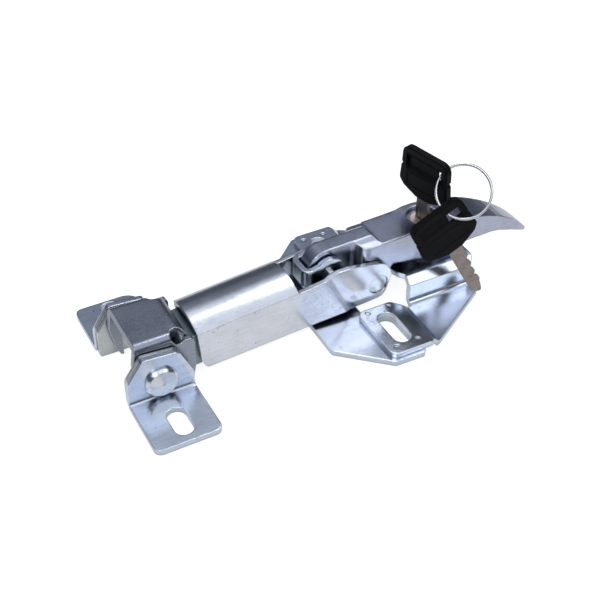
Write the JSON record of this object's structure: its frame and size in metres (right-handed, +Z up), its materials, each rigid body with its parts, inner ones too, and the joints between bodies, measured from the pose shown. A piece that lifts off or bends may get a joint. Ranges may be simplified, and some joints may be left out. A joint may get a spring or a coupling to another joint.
{
  "type": "hood latch",
  "caption": "Over-centre hood latch with a sprung claw hooked on a striker pin, a channel link, a long curved lever on a stamped base and a cam lock with keys on a ring.",
  "frame": {"origin": "on the mounting plane, midway between the two slots of the lever's base", "axes": "+X along the latch from the striker to the handle tip, +Y across the latch to the far side, +Z up from the mounting plane"},
  "size_m": [0.2634, 0.1225, 0.0833],
  "materials": {
    "zinc_plate": "zinc plated",
    "zinc_cheek": "zinc plated",
    "zinc_claw": "zinc plated",
    "zinc_link": "zinc plated",
    "zinc_lever": "zinc plated",
    "rivet_steel": "zinc plated",
    "pivot_steel": "zinc plated",
    "draw_steel": "zinc plated",
    "spring_steel": "oiled",
    "housing_steel": "polished",
    "plug_brass": "nickel flashed",
    "cam_steel": "plain",
    "key_nickel": "nickel plated",
    "key_plastic": "fine grain",
    "ring_steel": "polished"
  },
  "bodies": {
    "base": {"striker_bracket_near": "zinc_plate", "striker_bracket_far": "zinc_plate", "striker_cheek_near": "zinc_cheek", "striker_cheek_far": "zinc_cheek", "striker_pin": "rivet_steel", "hinge_bracket": "zinc_plate", "hump_plate": "zinc_plate", "pivot_pin": "pivot_steel", "pivot_washer_near": "pivot_steel", "pivot_washer_far": "pivot_steel"},
    "lever": {"lever": "zinc_lever", "arm_shaft": "pivot_steel", "arm_journal_near": "rivet_steel", "arm_journal_far": "rivet_steel", "lock_housing": "housing_steel"},
    "link": {"link_channel": "zinc_link", "spring_plate": "draw_steel"},
    "claw": {"claw": "zinc_claw", "draw_channel": "draw_steel", "draw_rod": "draw_steel", "rod_washer": "draw_steel", "rod_nut": "draw_steel", "link_spring": "spring_steel"},
    "plug": {"lock_plug": "plug_brass", "lock_cam": "cam_steel", "cam_screw": "cam_steel"},
    "key": {"key_blade": "key_nickel", "key_head": "key_plastic"},
    "ring": {"key_ring": "ring_steel"},
    "spare_key": {"spare_blade": "key_nickel", "spare_head": "key_plastic"}
  },
  "joints": [
    {"name": "lever_hinge", "type": "hinge", "parent": "base", "child": "lever", "pos_m": [-0.0235, 0, 0.0316], "axis": [0, -1, 0], "range_deg": [0, 62]},
    {"name": "link_hinge", "type": "hinge", "parent": "lever", "child": "link", "pos_m": [0.004, 0, 0.0173], "axis": [0, -1, 0], "range_deg": [-99.2, 0]},
    {"name": "claw_slide", "type": "slide", "parent": "link", "child": "claw", "axis": [-0.9962, 0, -0.0872], "range_m": [0, 0.005], "stiffness_N_per_m": 9000, "deforming": ["link_spring"]},
    {"name": "plug_turn", "type": "hinge", "parent": "lever", "child": "plug", "pos_m": [0.04, 0, 0.03], "axis": [0, 0, 1], "range_deg": [-30, 0]},
    {"name": "key_slide", "type": "slide", "parent": "plug", "child": "key", "axis": [0, 0, 1], "range_m": [0, 0.028]},
    {"name": "ring_swing", "type": "hinge", "parent": "key", "child": "ring", "pos_m": [0.04247, -0.0103, 0.07445], "axis": [0.9724, 0.2334, 0], "range_deg": [-5, 5]},
    {"name": "spare_swing", "type": "hinge", "parent": "ring", "child": "spare_key", "pos_m": [0.04001, -0.02601, 0.05921], "axis": [0.347, -0.9341, 0.084], "range_deg": [-4, 4]}
  ],
  "couplings": [
    {"joint": "link_hinge", "follows": "lever_hinge", "ratio": -1.6}
  ]
}
